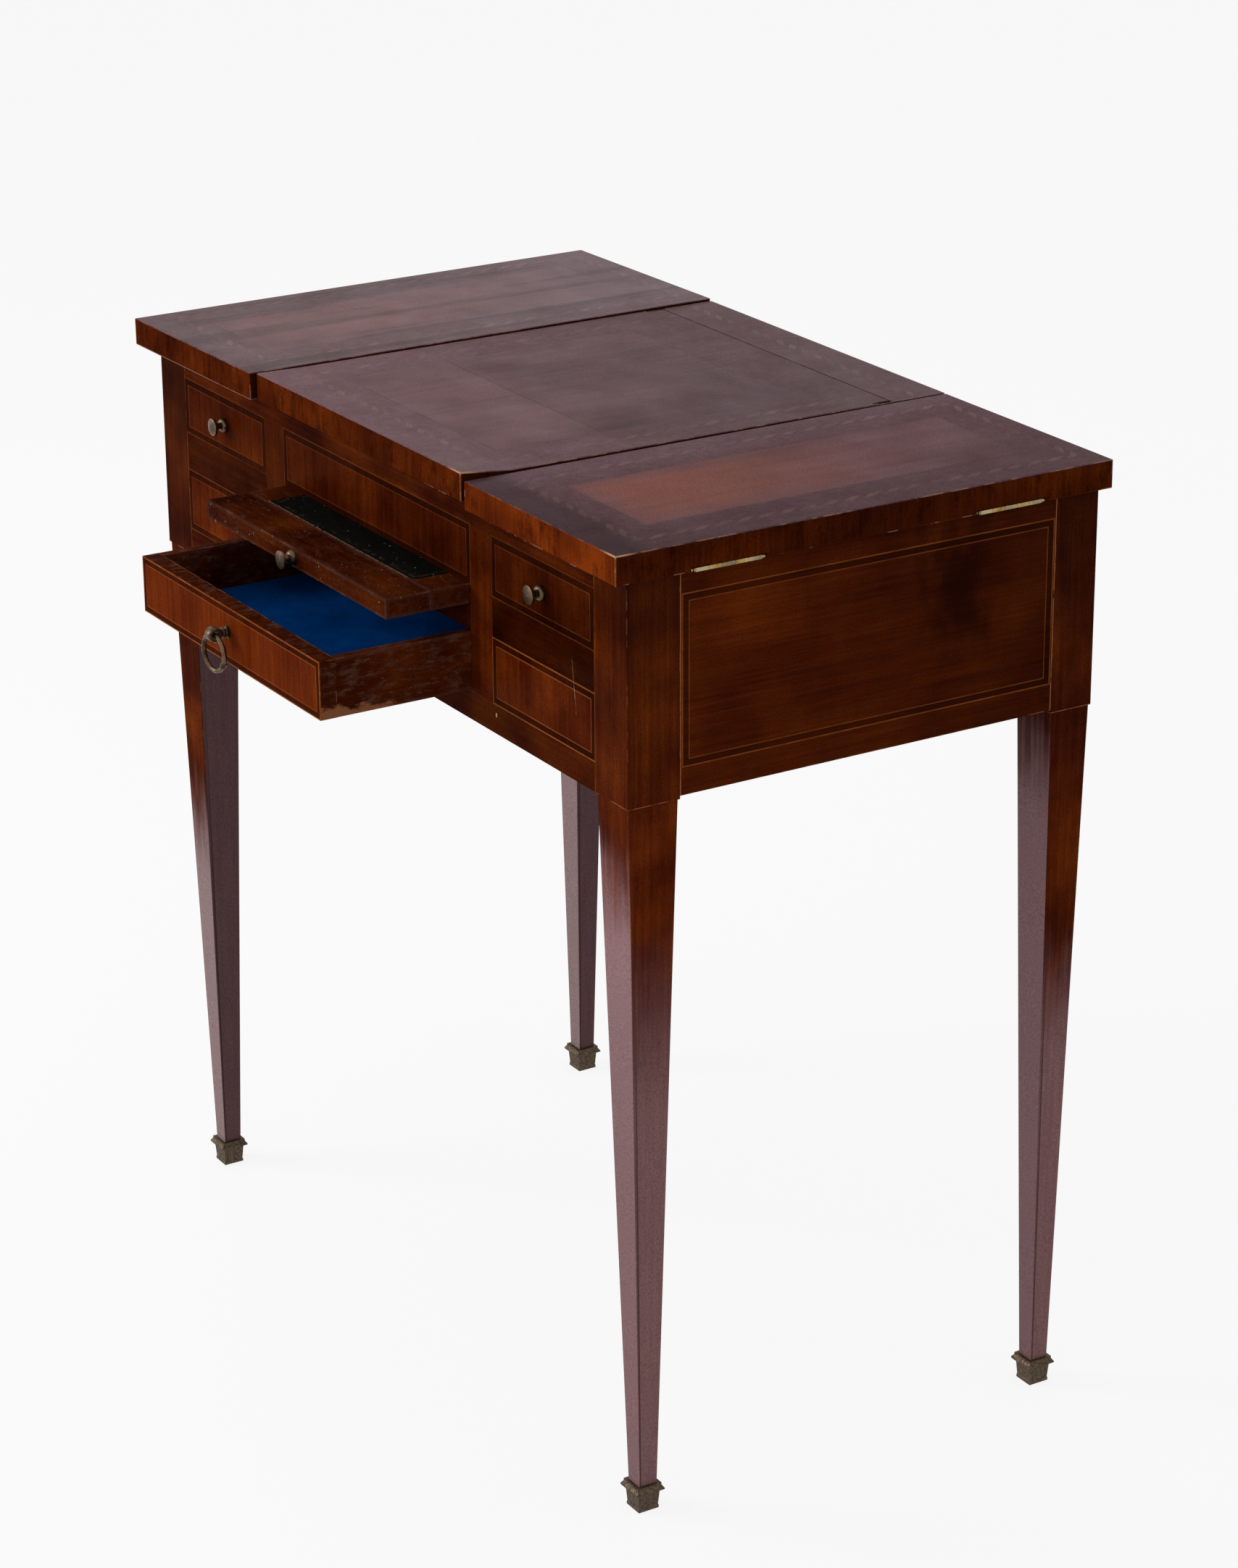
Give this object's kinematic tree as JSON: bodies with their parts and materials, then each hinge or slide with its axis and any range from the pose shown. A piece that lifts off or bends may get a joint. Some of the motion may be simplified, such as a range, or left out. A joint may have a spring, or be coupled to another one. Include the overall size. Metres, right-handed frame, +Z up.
{
  "type": "dressing table",
  "caption": "Small wooden dressing table on four square tapered legs: two side lids, a mirror flap, a writing slide, a ring-pull drawer and two small drawers.",
  "frame": {"origin": "middle of the floor area that the table covers as stored, with the drawer and slide pulled out, at floor level", "axes": "+X to the right of a person facing the front, +Y from the front to the back, +Z up"},
  "size_m": [0.7596, 0.5618, 0.7822],
  "materials": {
    "mahogany": "French-polished mahogany veneer, worn at the arrises",
    "carcass_wood": "plain oak, dry and darkened",
    "brass": "aged, turned",
    "shoe_bronze": "cast, dark patina",
    "mirror_glass": "silvered glass",
    "desk_leather": "worn black-green, blind and gilt tooled line",
    "drawer_felt": "blue felt"
  },
  "bodies": {
    "case": {"back_panel": "carcass_wood", "back_strip": "mahogany", "bottom_boards": "carcass_wood", "centre_fascia": "mahogany", "centre_well_floor": "carcass_wood", "drawer_runners": "carcass_wood", "false_front_left": "mahogany", "false_front_right": "mahogany", "flap_hinge_fixed_plates": "brass", "front_bottom_rail": "mahogany", "front_stile_left": "mahogany", "front_stile_right": "mahogany", "front_top_rail": "mahogany", "hinge_case_leaves_left": "brass", "hinge_case_leaves_right": "brass", "hinge_pins_left": "brass", "hinge_pins_right": "brass", "leg_back_left": "mahogany", "leg_back_right": "mahogany", "leg_front_left": "mahogany", "leg_front_right": "mahogany", "leg_shoes": "shoe_bronze", "mid_rail_left": "mahogany", "mid_rail_right": "mahogany", "partition_left": "carcass_wood", "partition_right": "carcass_wood", "side_panel_left": "mahogany", "side_panel_right": "mahogany", "slide_bearers": "carcass_wood", "slide_rail": "mahogany", "small_drawer_runners": "carcass_wood", "tray_floors": "carcass_wood", "well_walls": "carcass_wood"},
    "left_lid": {"lid_left": "mahogany", "hinge_lid_leaves_left": "brass"},
    "right_lid": {"lid_right": "mahogany", "hinge_lid_leaves_right": "brass"},
    "mirror_flap_body": {"mirror_flap": "mahogany", "mirror_glass": "mirror_glass", "mirror_frame": "mahogany", "flap_hinge_moving_plates": "brass"},
    "writing_slide": {"slide_board": "mahogany", "slide_cleat": "mahogany", "slide_leather": "desk_leather", "slide_knob": "brass"},
    "centre_drawer": {"drawer_front": "mahogany", "drawer_side_left": "carcass_wood", "drawer_side_right": "carcass_wood", "drawer_back": "carcass_wood", "drawer_bottom": "carcass_wood", "drawer_felt": "drawer_felt", "pull_stem": "brass"},
    "drawer_ring": {"pull_ring": "brass"},
    "small_drawer_left": {"small_drawer_left_front": "mahogany", "small_drawer_left_box": "carcass_wood", "small_drawer_left_knob": "brass"},
    "small_drawer_right": {"small_drawer_right_front": "mahogany", "small_drawer_right_box": "carcass_wood", "small_drawer_right_knob": "brass"}
  },
  "joints": [
    {"name": "left_lid_hinge", "type": "hinge", "parent": "case", "child": "left_lid", "pos_m": [-0.375, 0.06748, 0.75385], "axis": [0, -1, 0], "range_deg": [-0.56, 179.44]},
    {"name": "right_lid_hinge", "type": "hinge", "parent": "case", "child": "right_lid", "pos_m": [0.375, 0.06748, 0.75385], "axis": [0, 1, 0], "range_deg": [0, 180]},
    {"name": "mirror_flap_hinge", "type": "hinge", "parent": "case", "child": "mirror_flap_body", "pos_m": [0, 0.21898, 0.7735], "axis": [-1, 0, 0], "range_deg": [0, 100]},
    {"name": "writing_slide_run", "type": "slide", "parent": "case", "child": "writing_slide", "axis": [0, -1, 0], "range_m": [-0.07, 0.18]},
    {"name": "centre_drawer_run", "type": "slide", "parent": "case", "child": "centre_drawer", "axis": [0, -1, 0], "range_m": [-0.1276, 0.17]},
    {"name": "drawer_ring_swing", "type": "hinge", "parent": "centre_drawer", "child": "drawer_ring", "pos_m": [0, -0.27513, 0.6318], "axis": [-1, 0, 0], "range_deg": [-12, 110]},
    {"name": "small_drawer_left_run", "type": "slide", "parent": "case", "child": "small_drawer_left", "axis": [0, -1, 0], "range_m": [0, 0.11]},
    {"name": "small_drawer_right_run", "type": "slide", "parent": "case", "child": "small_drawer_right", "axis": [0, -1, 0], "range_m": [0, 0.11]}
  ]
}
